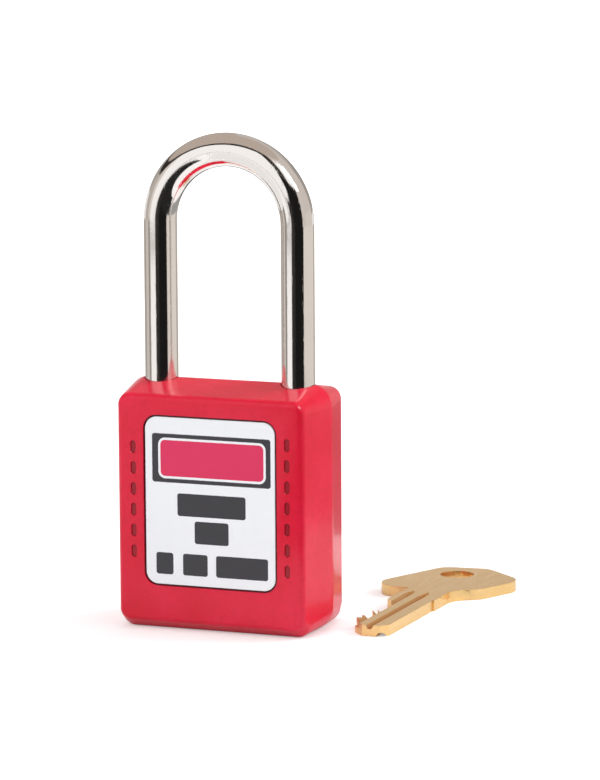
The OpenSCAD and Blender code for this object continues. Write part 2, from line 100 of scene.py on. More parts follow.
class Nodes:
    # one node tree; node() makes any node, the methods after it make the common ones
    def __init__(self, tree):
        self.nodes = tree.nodes
        self.links = tree.links
        self.place = None

    def put(self, socket, value):
        if isinstance(value, Wire):
            self.links.new(value.socket, socket)
        elif socket.type == "RGBA":
            socket.default_value = (*value, 1.0)
        else:
            socket.default_value = value

    def node(self, kind, settings=None, inputs=(), output=0):
        # inputs are a list from the first socket on, or a dictionary by name or number
        made = self.nodes.new(kind)
        for name, value in (settings or {}).items():
            setattr(made, name, value)
        filled = inputs if isinstance(inputs, dict) else dict(enumerate(inputs))
        for socket, value in filled.items():
            self.put(made.inputs[socket], value)
        return Wire(self, made.outputs[output]) if made.outputs else None

    def where(self):
        # the piece's own coordinates, in metres
        if self.place is None:
            self.place = self.node("ShaderNodeTexCoord", output="Object")
        return self.place

    def axes(self, vector=None):
        # x, y and z of a vector, or of the piece's own coordinates, in millimetres
        split = self.node("ShaderNodeSeparateXYZ", inputs=[vector or self.where()])
        return [Wire(self, part) / mm for part in split.socket.node.outputs]

    def noise(self, scale, detail=3.0, stretch=None, vector=None):
        vector = vector or self.where()
        if stretch:
            vector = self.node("ShaderNodeMapping", inputs={"Vector": vector, "Scale": stretch})
        return self.node("ShaderNodeTexNoise", inputs={"Vector": vector, "Scale": scale, "Detail": detail})

    def spread(self, value, low, high, toLow, toHigh):
        return self.node("ShaderNodeMapRange", inputs=[value, low, high, toLow, toHigh])

    def above(self, value, limit, soft):
        # 0 up to the limit, 1 from soft beyond it
        return self.spread(value, limit, limit + soft, 0.0, 1.0)

    def below(self, value, limit, soft):
        # 1 up to the limit, 0 from soft beyond it
        return self.spread(value, limit, limit + soft, 1.0, 0.0)

    def mix(self, factor, first, second):
        # a Mix node has its colours in sockets 6 and 7 and its mixed colour in output 2
        return self.node("ShaderNodeMix", {"data_type": "RGBA"}, {0: factor, 6: first, 7: second}, 2)

    def ray(self, kind):
        # 1 for rays of that kind, 0 for all others
        return self.node("ShaderNodeLightPath", output=kind)


class Finish(Nodes):
    # one material with a Principled shader
    def __init__(self, name, **sockets):
        self.material = bpy.data.materials.new(name)
        self.material.use_nodes = True
        super().__init__(self.material.node_tree)
        self.shader = self.nodes["Principled BSDF"]
        self.feed(**sockets)

    def feed(self, **sockets):
        for name, value in sockets.items():
            self.put(self.shader.inputs[name.replace("_", " ")], value)

    def bump(self, height, strength, distance):
        self.feed(Normal=self.node("ShaderNodeBump", inputs={
            "Height": height, "Strength": strength, "Distance": distance}))


class Glow(Nodes):
    # one material of the studio, which starts empty; close() gives it its last shader
    def __init__(self, name):
        self.material = bpy.data.materials.new(name)
        self.material.use_nodes = True
        super().__init__(self.material.node_tree)
        self.nodes.clear()

    def close(self, shader):
        self.node("ShaderNodeOutputMaterial", inputs={"Surface": shader})
        return self.material


def linear(*levels):
    # a colour picked on screen, 0 to 255, as the shader wants it
    shares = [level / 255 for level in levels]
    return tuple(s / 12.92 if s <= 0.04045 else ((s + 0.055) / 1.055) ** 2.4 for s in shares)


def boxCutter(low, high):
    bm = bmesh.new()
    bmesh.ops.create_cube(bm, size=1.0)
    bmesh.ops.scale(bm, vec=[b - a for a, b in zip(low, high)], verts=bm.verts)
    bmesh.ops.translate(bm, vec=[(a + b) / 2 for a, b in zip(low, high)], verts=bm.verts)
    return bm


def rodCutter(radius, low, high, x, y=0.0, segments=96):
    # an upright round bar
    bm = bmesh.new()
    bmesh.ops.create_cone(bm, cap_ends=True, segments=segments, radius1=radius, radius2=radius,
                          depth=high - low)
    bmesh.ops.translate(bm, vec=(x, y, (low + high) / 2), verts=bm.verts)
    return bm


def prism(points, low, high):
    # an upright solid over an outline in the XY plane
    bm = bmesh.new()
    face = bm.faces.new([bm.verts.new((x, y, low)) for x, y in points])
    made = bmesh.ops.extrude_face_region(bm, geom=[face])["geom"]
    top = [g for g in made if isinstance(g, bmesh.types.BMVert)]
    bmesh.ops.translate(bm, vec=(0, 0, high - low), verts=top)
    bmesh.ops.recalc_face_normals(bm, faces=bm.faces)
    return bm


def asObject(bm, name):
    mesh = bpy.data.meshes.new(name)
    bm.to_mesh(mesh)
    bm.free()
    obj = bpy.data.objects.new(name, mesh)
    bpy.context.scene.collection.objects.link(obj)
    return obj


def carve(obj, cutters, operation="DIFFERENCE"):
    # takes each cutter out of obj, or adds it, one after the other
    for index, cutter in enumerate(cutters):
        tool = asObject(cutter, "cutter%d" % index)
        step = obj.modifiers.new("carve", "BOOLEAN")
        step.operation = operation
        step.solver = "EXACT"
        step.object = tool
        graph = bpy.context.evaluated_depsgraph_get()
        carved = bpy.data.meshes.new_from_object(obj.evaluated_get(graph))
        obj.modifiers.remove(step)
        old = obj.data
        obj.data = carved
        bpy.data.meshes.remove(old)
        bpy.data.objects.remove(tool)


def rework(obj, change):
    # lets change() work on the mesh of obj
    bm = bmesh.new()
    bm.from_mesh(obj.data)
    change(bm)
    bm.to_mesh(obj.data)
    bm.free()


def softEdges(bm, width, angle=30.0, segments=2, keep=None):
    # rounds every edge sharper than the angle, or only those that keep() picks
    bmesh.ops.remove_doubles(bm, verts=bm.verts, dist=0.0005)
    bm.normal_update()
    sharp = [e for e in bm.edges if e.is_manifold and e.calc_face_angle(0.0) > math.radians(angle)]
    if keep:
        sharp = [e for e in sharp if keep(e)]
    bmesh.ops.bevel(bm, geom=sharp, offset=width, offset_type="OFFSET", affect="EDGES", segments=segments,
                    profile=0.5, material=-1, clamp_overlap=True)


def finishPiece(obj, carrier, finish, replaces, smooth):
    # from millimetres to metres, smooth shading up to an angle, place on its body
    obj.data.transform(Matrix.Scale(mm, 4))
    for polygon in obj.data.polygons:
        polygon.use_smooth = True
    obj.data.set_sharp_from_angle(angle=math.radians(smooth))
    obj.data.materials.clear()
    obj.data.materials.append(finish.material)
    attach(obj, carrier)
    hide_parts(replaces)
    even = obj.modifiers.new("even", "WEIGHTED_NORMAL")
    even.keep_sharp = True


# every piece is made in millimetres: z up from the foot, y 0 at mid-depth, the label towards -y
body = {
    "halfWidth": 19.3, "height": 44.0, "halfDepth": 10.0, "footHalf": 7.5,
    # the straight band at the parting line, then the face that the sides lean to and its round edge
    "seamHalf": 0.35, "seamCorner": 4.0,
    "faceHalfWidth": 17.7, "faceLow": 1.2, "faceHigh": 42.4, "faceCorner": 2.3, "faceEdge": 1.2,
    "labelWidth": 24.5, "labelHeight": 30.0, "labelMiddle": 23.4, "labelCorner": 2.2,
    "labelGap": 0.3, "recessDepth": 0.5, "recessLip": 0.18, "recessFillet": 0.1,
    # radius of the leg holes and where they end
    "legSpacing": 26.0, "legHole": 3.15, "shortHoleLow": 30.12, "longHoleLow": 3.5, "holeTop": 60.0,
    # two corners each of the cover's seat, the lock's housing, its upper part and the bolts' run
    "hollows": [((-15.8, -6.6, -3.0), (15.8, 6.6, 1.8)), ((-7.5, -6.1, -3.5), (15.3, 6.1, 28.62)),
                ((-7.5, -6.11, -4.0), (7.5, 6.11, 41.1)), ((-13.0, -2.5, 37.7), (13.0, 2.5, 41.1))],
    # number of grooves in each column, and the column's x
    "grooveColumns": [(6, -14.55), (7, 14.55)],
    "grooveWidth": 1.1, "grooveHeight": 2.4, "grooveDepth": 0.3, "groovePitch": 3.75,
    # where the columns' painted groove shade may lie, sideways and above or below the label's middle
    "columnFrom": 13.2, "columnTo": 15.9, "columnHalf": 14.2,
    "cornerSteps": 12, "edgeSteps": 7, "rimEdge": 0.12,
    "red": linear(216, 10, 46), "otherRed": linear(227, 24, 62), "deepRed": linear(194, 6, 34),
    # painted shade: the first two reds below darken the grooves and the gap round the label; the last is dust
    "grooveShadeRed": linear(158, 18, 38), "gapShadeRed": linear(96, 8, 24), "dust": linear(240, 120, 140),
}
legX = body["legSpacing"] / 2


def tangentOf(start, centre, radius):
    # where the straight side from start touches the round edge, as an angle from +X
    across, along = centre[0] - start[0], centre[1] - start[1]
    reach = math.hypot(across, along)
    lean = math.atan2(along, across) - math.asin(radius / reach)
    return lean - math.pi / 2


def sectionAt(y):
    # half width, low z, high z and corner radius of the body's outline at that depth
    edge, depth = body["faceEdge"], body["halfDepth"]
    middle = depth - edge
    lift = math.sqrt(max(0.0, edge ** 2 - max(0.0, y - middle) ** 2))

    def side(seam, face, start):
        angle = tangentOf((seam, start), (face - edge, middle), edge)
        touch = (face - edge + edge * math.cos(angle), middle + edge * math.sin(angle))
        if y >= touch[1]:
            return face - edge + math.sqrt(max(0.0, edge ** 2 - (y - middle) ** 2))
        share = max(0.0, (y - start) / (touch[1] - start))
        return seam + (touch[0] - seam) * share

    half = side(body["halfWidth"], body["faceHalfWidth"], body["seamHalf"])
    high = side(body["height"], body["faceHigh"], body["seamHalf"])
    low = -side(0.0, -body["faceLow"], body["footHalf"]) if y > body["footHalf"] else 0.0
    share = min(1.0, max(0.0, (y - body["seamHalf"]) / (middle - body["seamHalf"])))
    corner = body["seamCorner"] + (body["faceCorner"] - body["seamCorner"]) * share
    if y > middle:
        corner = body["faceCorner"] - edge + lift
    return half, low, high, corner


def placeRing(ring, half, low, high, corner, y):
    # sends each point of the outline to its place on a round-cornered rectangle
    for vert, (sx, sz, angle) in ring:
        middleX = sx * (half - corner)
        middleZ = (high - corner) if sz > 0 else (low + corner)
        vert.co = (middleX + corner * math.cos(angle), y, middleZ + corner * math.sin(angle))


def nextRing(bm, ring):
    # extrudes the outline's edges and returns the new points in the same order
    verts = [v for v, _ in ring]
    edges = [bm.edges.get((verts[i], verts[(i + 1) % len(verts)])) for i in range(len(verts))]
    made = bmesh.ops.extrude_edge_only(bm, edges=edges)["geom"]
    fresh = set(g for g in made if isinstance(g, bmesh.types.BMVert))
    follow = []
    for vert, tag in ring:
        partner = [e.other_vert(vert) for e in vert.link_edges if e.other_vert(vert) in fresh]
        follow.append((partner[0], tag))
    return follow


def outlineRing(bm, steps):
    # a closed outline with the same number of points in each corner
    tags = []
    for sx, sz, start in ((1, 1, 0.0), (-1, 1, 90.0), (-1, -1, 180.0), (1, -1, 270.0)):
        for k in range(steps + 1):
            tags.append((sx, sz, math.radians(start + 90.0 * k / steps)))
    made = bmesh.ops.create_circle(bm, segments=len(tags), radius=1.0)["verts"]
    made.sort(key=lambda v: math.atan2(v.co.y, v.co.x) % (2 * math.pi))
    return list(zip(made, tags))


def halfBody():
    # the front half: seam, leaning sides, round face edge, recess lip, wall and floor
    bm = bmesh.new()
    ring = outlineRing(bm, body["cornerSteps"])
    placeRing(ring, *sectionAt(body["seamHalf"]), 0.0)
    middle = body["halfDepth"] - body["faceEdge"]
    foot = body["footHalf"]
    # rings stand closer where the foot ends and where the round edge starts
    depths = [body["seamHalf"], 2.0, 4.0, 6.0, foot - 0.25, foot + 0.1, foot + 0.5, middle, middle + 0.12]
    depths += [middle + body["faceEdge"] * math.sin(math.radians(8 + 82 * k / body["edgeSteps"]))
               for k in range(1, body["edgeSteps"] + 1)]
    for y in depths:
        ring = nextRing(bm, ring)
        placeRing(ring, *sectionAt(y), -y)
    lip, gap, fillet = body["recessLip"], body["labelGap"], body["recessFillet"]
    halfX = body["labelWidth"] / 2 + gap
    lowZ = body["labelMiddle"] - body["labelHeight"] / 2 - gap
    highZ = body["labelMiddle"] + body["labelHeight"] / 2 + gap
    corner = body["labelCorner"] + gap
    top, floor = body["halfDepth"], body["halfDepth"] - body["recessDepth"]
    for grow, y in ((lip, top), (lip * 0.35, top - lip * 0.3), (0.0, top - lip), (0.0, floor + fillet),
                    (-0.3 * fillet, floor + 0.3 * fillet), (-fillet, floor)):
        ring = nextRing(bm, ring)
        placeRing(ring, halfX + grow, lowZ - grow, highZ + grow, corner + grow, -y)
    bm.faces.new([v for v, _ in ring])
    return bm


def grooveCutter(x, z):
    # a short round-ended slot, narrower at its bottom, that starts a little in front of the face
    width, height, depth = body["grooveWidth"], body["grooveHeight"], body["grooveDepth"]
    start, narrow, wide = 0.4, (0.72, 1.0, 0.86), (1.36, 1.0, 1.16)
    bm = bmesh.new()
    made = bmesh.ops.create_circle(bm, segments=24, radius=width / 2, cap_ends=True)["verts"]
    for v in made:
        v.co = (v.co.x, 0.0, v.co.y + math.copysign((height - width) / 2, v.co.y + 1e-9))
    bottom = bmesh.ops.extrude_face_region(bm, geom=bm.faces[:])["geom"]
    tips = [g for g in bottom if isinstance(g, bmesh.types.BMVert)]
    bmesh.ops.scale(bm, vec=narrow, verts=tips)
    bmesh.ops.translate(bm, vec=(0, depth, 0), verts=tips)
    mouth = [v for v in bm.verts if v not in tips]
    bmesh.ops.translate(bm, vec=(0, -start, 0), verts=mouth)
    bmesh.ops.scale(bm, vec=wide, verts=mouth)
    bmesh.ops.translate(bm, vec=(x, -body["halfDepth"], z), verts=bm.verts)
    bmesh.ops.recalc_face_normals(bm, faces=bm.faces)
    return bm


def moulding():
    # the front half and its mirror image, closed along the seam
    bm = halfBody()
    bmesh.ops.mirror(bm, geom=bm.verts[:] + bm.edges[:] + bm.faces[:], axis="Y", merge_dist=0.0005)
    bmesh.ops.remove_doubles(bm, verts=bm.verts, dist=0.0005)
    bmesh.ops.recalc_face_normals(bm, faces=bm.faces)
    return bm


def bodyCutters():
    # both leg holes, the hollows inside and the two columns of grooves
    tools = [rodCutter(body["legHole"], body["shortHoleLow"], body["holeTop"], legX),
             rodCutter(body["legHole"], body["longHoleLow"], body["holeTop"], -legX)]
    tools += [boxCutter(low, high) for low, high in body["hollows"]]
    for count, x in body["grooveColumns"]:
        for k in range(count):
            tools.append(grooveCutter(x, body["labelMiddle"] + (k - (count - 1) / 2) * body["groovePitch"]))
    return tools


def outsideRim(edge):
    # the rims of the leg holes, of the bottom opening and of the grooves
    near, touch = 0.1, 0.02   # how close an edge lies to a hole, and to the front face
    a, b = edge.verts[0].co, edge.verts[1].co
    middle = (a + b) / 2
    reach = body["legHole"] + near
    if middle.z > body["faceHigh"] and abs(abs(middle.x) - legX) < reach and abs(middle.y) < reach:
        return True
    if middle.z < near / 2:
        return True
    onFace = middle.y < touch - body["halfDepth"] and abs(a.y - b.y) < touch
    return onFace and abs(middle.x) > body["columnFrom"]


def paintBody(m):
    # uneven red with specks of dust, and painted shade in the grooves and in the gap round the label
    x, y, z = m.axes()
    side, high = abs(x), abs(z - body["labelMiddle"])
    cloud = m.noise(90.0, 2.0)
    blotches = m.noise(800.0, 4.0)
    specks = m.noise(2600.0, 2.0)
    fine = m.noise(1400.0)
    grain = m.noise(5200.0, 2.0)
    colour = m.mix(m.spread(cloud, 0.3, 0.7, 0.0, 1.0), body["red"], body["otherRed"])
    colour = m.mix(m.spread(blotches, 0.5, 0.72, 0.0, 0.3), colour, body["deepRed"])
    colour = m.mix(m.spread(specks, 0.7, 0.78, 0.0, 0.35), colour, body["dust"])
    front = -body["halfDepth"]
    sunk = m.above(y, front + 0.03, 0.17)
    column = m.above(side, body["columnFrom"], 0.2) * m.below(side, body["columnTo"], 0.2)
    rows = m.below(high, body["columnHalf"], 0.2) * m.below(y, front + body["grooveDepth"] + 0.1, 0.1)
    # painted shade: a darker red where the grooves sink below the face
    colour = m.mix(sunk * column * rows, colour, body["grooveShadeRed"])
    # painted shade: a deeper red in the sunk gap round the label, for the shadow in the recess
    rim = body["labelGap"] + 0.05
    gap = m.below(side, body["labelWidth"] / 2 + rim, 0.1) * m.below(high, body["labelHeight"] / 2 + rim, 0.1)
    gap = gap * sunk * m.below(y, front + 2 * body["recessDepth"], 0.1)
    colour = m.mix(gap, colour, body["gapShadeRed"])
    m.feed(Base_Color=colour, Roughness=m.spread(fine, 0.3, 0.7, 0.33, 0.42))
    m.bump(grain * 0.35 + fine, 0.12, 0.00012)


shell = asObject(moulding(), "mouldedBody")
carve(shell, bodyCutters())
print("body carved:", len(shell.data.polygons), "faces")
rework(shell, lambda bm: softEdges(bm, body["rimEdge"], angle=25.0, keep=outsideRim))
redPlastic = Finish("redMouldedPlastic", Specular_IOR_Level=0.1, Coat_Weight=0.6, Coat_Roughness=0.15)
paintBody(redPlastic)
finishPiece(shell, "lock_body", redPlastic, "body_shell", smooth=28.0)
print("moulded body done")


# the printed areas are left, right, low and high
label = {
    "thickness": 0.35, "edge": 0.05,
    "header": (-10.95, 11.47, 26.74, 35.47), "headerCorner": 0.5,
    "panel": (-9.78, 10.57, 27.45, 34.75), "panelCorner": 1.3, "panelRim": 0.42,
    "bars": [(-6.22, 6.72, 20.84, 24.91), (-2.97, 3.47, 15.99, 20.04),
             (-10.34, -7.08, 10.2, 14.1), (-5.25, -0.55, 10.2, 14.1), (1.04, 10.88, 10.2, 14.1)],
    "barCorner": 0.45, "blur": 0.04, "wobble": 0.06,
    "white": linear(246, 248, 252), "dark": linear(62, 61, 65), "red": linear(224, 52, 96),
}


def labelPlate():
    # a thin plate with round corners and a soft front edge
    bm = bmesh.new()
    ring = outlineRing(bm, body["cornerSteps"])
    back = body["halfDepth"] - body["recessDepth"]
    front, edge = back + label["thickness"], label["edge"]
    halfX, corner = body["labelWidth"] / 2, body["labelCorner"]
    lowZ = body["labelMiddle"] - body["labelHeight"] / 2
    highZ = lowZ + body["labelHeight"]
    placeRing(ring, halfX, lowZ, highZ, corner, -back)
    bm.faces.new([v for v, _ in ring])
    for grow, y in ((0.0, front - edge), (-0.3 * edge, front - 0.3 * edge), (-edge, front)):
        ring = nextRing(bm, ring)
        placeRing(ring, halfX + grow, lowZ - grow, highZ + grow, corner + grow, -y)
    bm.faces.new([v for v, _ in ring])
    bmesh.ops.recalc_face_normals(bm, faces=bm.faces)
    return bm


def insideOf(x, z, area, corner):
    # 1 inside a round-cornered rectangle, 0 outside
    left, right, low, high = area
    acrossX = abs(x - (left + right) / 2) - ((right - left) / 2 - corner)
    acrossZ = abs(z - (low + high) / 2) - ((high - low) / 2 - corner)
    outside = (acrossX.upper(0.0) ** 2 + acrossZ.upper(0.0) ** 2) ** 0.5
    inside = acrossX.upper(acrossZ).lower(0.0)
    return (0.5 - (outside + inside - corner) / label["blur"]).clamped()


def paintLabel(m):
    # white paper under the print, whose edges are a little uneven
    x, _, z = m.axes()
    wobble = (m.noise(2600.0, 2.0) - 0.5) * label["wobble"]
    x, z = x + wobble, z + wobble
    paper = m.mix(m.noise(500.0, 2.0), label["white"], tuple(c * 0.97 for c in label["white"]))
    colour = m.mix(insideOf(x, z, label["header"], label["headerCorner"]), paper, label["dark"])
    colour = m.mix(insideOf(x, z, label["panel"], label["panelCorner"]), colour, paper)
    left, right, low, high = label["panel"]
    rim = label["panelRim"]
    inner = (left + rim, right - rim, low + rim, high - rim)
    colour = m.mix(insideOf(x, z, inner, label["panelCorner"] - rim), colour, label["red"])
    for area in label["bars"]:
        colour = m.mix(insideOf(x, z, area, label["barCorner"]), colour, label["dark"])
    sheen = m.noise(900.0, 2.0)
    m.feed(Base_Color=colour, Roughness=m.spread(sheen, 0.3, 0.7, 0.38, 0.48))
    m.bump(m.noise(3500.0, 2.0), 0.05, 0.00005)


labelPrint = Finish("labelPrint", Specular_IOR_Level=0.35)
paintLabel(labelPrint)
plate = asObject(labelPlate(), "printedLabel")
finishPiece(plate, "lock_body", labelPrint, "label", smooth=50.0)
print("label done")


rodShape = {
    "radius": 3.0, "bendHeight": 72.0, "shortEnd": 31.82, "longEnd": 11.52, "chamfer": 0.5,
    "notchLow": 34.02, "notchHigh": 41.15, "notchDepth": 1.2,
    "reliefLow": 14.32, "reliefHigh": 30.52, "reliefDepth": 1.3, "cutterNear": 4.0, "cutterHalf": 6.0,
    # the turned groove goes a hair deeper and lower than the relief, so that no faces coincide
    "turnLow": 14.3, "turnHigh": 17.42, "turnDepth": 1.31, "turnReach": 5.0,
    "around": 96, "along": 96, "edge": 0.12,
    "rings": [66.0, 60.0, 54.0, 49.0, 45.0, 42.0, 41.4, 33.7, 32.6, 31.0, 14.0, 12.6],
    "plating": (0.92, 0.88, 0.845), "otherPlating": (0.86, 0.815, 0.775),
}


def extendLeg(bm, side, end):
    # runs an open end of the bend straight down ring by ring, chamfers it and closes it
    s = rodShape
    edges = [e for e in bm.edges if e.is_boundary and e.verts[0].co.x * side > 0]
    levels = [(z, 1.0) for z in s["rings"] if z > end + 1]
    levels += [(end + s["chamfer"], 1.0), (end, 1 - s["chamfer"] / s["radius"])]
    for drop, shrink in levels:
        made = bmesh.ops.extrude_edge_only(bm, edges=edges)["geom"]
        verts = [g for g in made if isinstance(g, bmesh.types.BMVert)]
        for v in verts:
            v.co.z = drop
        bmesh.ops.scale(bm, vec=(shrink, shrink, 1.0), verts=verts,
                        space=Matrix.Translation((-side * legX, 0, 0)))
        edges = [g for g in made if isinstance(g, bmesh.types.BMEdge)
                 and all(abs(v.co.z - drop) < 0.001 for v in g.verts)]
    bmesh.ops.contextual_create(bm, geom=edges)


def bentRod():
    # a circle spun through the bend, then both legs
    s = rodShape
    bm = bmesh.new()
    bmesh.ops.create_circle(bm, segments=s["around"], radius=s["radius"])
    bmesh.ops.translate(bm, vec=(legX, 0, s["bendHeight"]), verts=bm.verts)
    bmesh.ops.spin(bm, geom=bm.verts[:] + bm.edges[:], cent=(0, 0, s["bendHeight"]), axis=(0, -1, 0),
                   angle=math.pi, steps=s["along"])
    extendLeg(bm, 1, s["shortEnd"])
    extendLeg(bm, -1, s["longEnd"])
    bmesh.ops.recalc_face_normals(bm, faces=bm.faces)
    return bm


def flatCutter(side, depth, low, high):
    # a box that flattens the inner side of one leg
    s = rodShape
    left, right = sorted((side * s["cutterNear"], side * (legX - s["radius"] + depth)))
    return boxCutter((left, -s["cutterHalf"], low), (right, s["cutterHalf"], high))


def ringCutter(inner, outer, low, high, x):
    # four corners spun into a ring
    bm = bmesh.new()
    places = ((inner, low), (outer, low), (outer, high), (inner, high))
    corners = [bm.verts.new((across, 0, z)) for across, z in places]
    edges = [bm.edges.new((corners[i], corners[(i + 1) % 4])) for i in range(4)]
    bmesh.ops.spin(bm, geom=corners + edges, cent=(0, 0, 0), axis=(0, 0, 1), angle=2 * math.pi,
                   steps=rodShape["around"], use_merge=True)
    bmesh.ops.recalc_face_normals(bm, faces=bm.faces)
    bmesh.ops.translate(bm, vec=(x, 0, 0), verts=bm.verts)
    return bm


def shackleCutters():
    # a notch in each leg for the bolts, then the relief and the turned groove that keep the long leg in
    s = rodShape
    return [flatCutter(1, s["notchDepth"], s["notchLow"], s["notchHigh"]),
            flatCutter(-1, s["notchDepth"], s["notchLow"], s["notchHigh"]),
            flatCutter(-1, s["reliefDepth"], s["reliefLow"], s["reliefHigh"]),
            ringCutter(s["radius"] - s["turnDepth"], s["turnReach"], s["turnLow"], s["turnHigh"], -legX)]


def paintPlating(m):
    # polished plating with faint drawn lines, pits and scratches along the rod
    cloud = m.noise(160.0)
    pits = m.noise(2400.0, 4.0)
    drawn = m.noise(900.0, stretch=(1.0, 1.0, 0.03))
    scratches = m.above(m.noise(3600.0, 1.0, stretch=(1.0, 1.0, 0.12)), 0.66, 0.06)
    m.feed(Base_Color=m.mix(cloud, rodShape["plating"], rodShape["otherPlating"]),
           Roughness=m.spread(cloud * 0.6 + drawn * 0.4, 0.35, 0.65, 0.05, 0.13))
    m.bump(drawn * 0.5 + pits * 0.3 + scratches * 0.6, 0.09, 0.00007)


shackle = asObject(bentRod(), "steelShackle")
carve(shackle, shackleCutters())
rework(shackle, lambda bm: softEdges(bm, rodShape["edge"], angle=38.0))
platedSteel = Finish("platedSteel", Metallic=1.0)
paintPlating(platedSteel)
finishPiece(shackle, "shackle_rod", platedSteel, "shackle", smooth=30.0)
print("shackle done:", len(shackle.data.polygons), "faces")


# the key is made along x from its tip, then turned and moved to its place on the floor
keyShape = {
    "tip": (26.3, -2.5), "turn": 88.5, "thickness": 2.0, "edge": 0.16,
    "bladeHeight": 8.4, "bladeLength": 23.5, "spineStep": 0.3,
    "bowLength": 30.0, "bowWidth": 23.0, "holeWidth": 6.2, "holeFromEnd": 6.6,
    # along the bow, across it, and radius, as shares of its length and width
    "lobes": [(0.447, 0.283, 0.191), (0.863, 0.104, 0.148), (0.896, -0.13, 0.135), (0.707, -0.33, 0.196),
              (0.507, -0.235, 0.183)],
    "neckRadius": 5.0, "neckSink": 0.03,
    # steps of depth of each cut, from the bow to the tip
    "cuts": [2, 4, 1, 3, 0, 2], "cutStep": 0.5, "cutLeast": 1.2,
    "firstCut": 4.3, "cutPitch": 3.2, "cutFlat": 0.8,
    # length and height of the slope and the chamfer at the tip
    "tipRamp": (3.5, 3.2), "tipNose": 0.4, "tipChamfer": (2.2, 1.4),
    # middle, width and length of each groove
    "grooves": [(-0.8, 1.4, 26.0), (2.3, 1.6, 26.5)], "backGroove": (-2.8, 1.6, 25.0),
    "grooveDepth": 0.7, "grooveFloor": 0.7, "cutterRadius": 9.0,
    "grooveEnd": (0.0, 0.2, 0.4, 0.6, 0.8, 0.95, 1.02),   # sections of its rising end, as shares of it
    "over": 1.0,   # how far each cutter reaches past the blank
    # the deepest brass serves for stains and for the painted shade and reflection in the milled grooves
    "brass": (0.93, 0.66, 0.31), "otherBrass": (0.88, 0.59, 0.25), "stainAndShadeBrass": (0.78, 0.42, 0.16),
}
keyLow, keyHigh = -keyShape["over"], keyShape["thickness"] + keyShape["over"]


def keyBow():
    # hull of five round lobes
    k = keyShape
    bm = bmesh.new()
    for along, across, share in k["lobes"]:
        for z in (0.0, k["thickness"]):
            made = bmesh.ops.create_circle(bm, segments=64, radius=share * k["bowWidth"])["verts"]
            bmesh.ops.translate(bm, verts=made,
                                vec=(k["bladeLength"] + along * k["bowLength"], across * k["bowWidth"], z))
    bmesh.ops.convex_hull(bm, input=bm.verts[:])
    bmesh.ops.delete(bm, geom=[v for v in bm.verts if not v.link_faces], context="VERTS")
    bmesh.ops.delete(bm, geom=[e for e in bm.edges if not e.link_faces], context="EDGES")
    bmesh.ops.dissolve_limit(bm, angle_limit=math.radians(0.5), verts=bm.verts, edges=bm.edges)
    bmesh.ops.recalc_face_normals(bm, faces=bm.faces)
    return bm


def keyNeck():
    # the concave run from the spine onto the nearest lobe
    k = keyShape
    along, across, share = k["lobes"][4]
    lobeX, lobeY = k["bladeLength"] + along * k["bowLength"], across * k["bowWidth"]
    neckY = k["neckSink"] - k["bladeHeight"] / 2 - k["neckRadius"]
    reach = k["neckRadius"] + share * k["bowWidth"] - k["neckSink"]
    neckX = lobeX - math.sqrt(reach ** 2 - (lobeY - neckY) ** 2)
    outline = [(neckX, 0), (neckX, neckY), (lobeX, lobeY), (lobeX, 0)]
    neck = asObject(prism(outline, 0.0, k["thickness"]), "neck")
    carve(neck, [rodCutter(k["neckRadius"], keyLow, keyHigh, neckX, neckY, 128)])
    bm = bmesh.new()
    bm.from_mesh(neck.data)
    bpy.data.objects.remove(neck)
    return bm


def softRims(bm):
    # flat faces in one piece again, with round edges along both of them
    bmesh.ops.remove_doubles(bm, verts=bm.verts, dist=0.003)
    bmesh.ops.dissolve_limit(bm, angle_limit=math.radians(0.5), verts=bm.verts, edges=bm.edges)
    softEdges(bm, keyShape["edge"], angle=60.0, segments=3,
              keep=lambda e: abs(e.verts[0].co.z - e.verts[1].co.z) < 0.01)


def keyBlank():
    # the outline of blade, neck and bow in one, with its hole and soft rims
    k = keyShape
    half, top = k["bladeHeight"] / 2, k["thickness"]
    blank = asObject(keyBow(), "brassKey")
    carve(blank, [boxCutter((-0.2, k["spineStep"] - half, 0), (k["bladeLength"] + k["over"], half, top)),
                  boxCutter((k["bladeLength"], -half, 0), (k["bladeLength"] + k["bowLength"] / 2, half, top)),
                  keyNeck()], "UNION")
    holeX = k["bladeLength"] + k["bowLength"] - k["holeFromEnd"]
    carve(blank, [rodCutter(k["holeWidth"] / 2, keyLow, keyHigh, holeX)])
    rework(blank, softRims)
    return blank


def grooveTool(middle, width, length, upper):
    # a milled groove with leaning walls; its end rises along the round cutter and runs to a point
    k = keyShape
    depth, clear = k["grooveDepth"], 0.5
    surface, outward = (k["thickness"], 1) if upper else (0.0, -1)
    run = math.sqrt(2 * k["cutterRadius"] * depth)
    slope = (width - k["grooveFloor"]) / 2 / depth
    stations = [(-k["over"], 0.0)] + [(length + run * share, share) for share in k["grooveEnd"]]
    bm = bmesh.new()
    ring = [(bm.verts.new(), corner) for corner in ((-1, False), (1, False), (1, True), (-1, True))]
    bm.faces.new([v for v, _ in ring])
    for step, (x, share) in enumerate(stations):
        if step:
            ring = nextRing(bm, ring)
        rise = depth * share ** 2
        mouth = width / 2 * math.sqrt(max(0.0, 1 - share ** 2)) + 0.02
        for vert, (side, low) in ring:
            half = max(0.01, mouth - slope * (depth - rise)) if low else mouth + clear * slope
            vert.co = (x, middle + side * half, surface + outward * (rise - depth if low else clear))
    bm.faces.new([v for v, _ in ring])
    bmesh.ops.recalc_face_normals(bm, faces=bm.faces)
    return bm


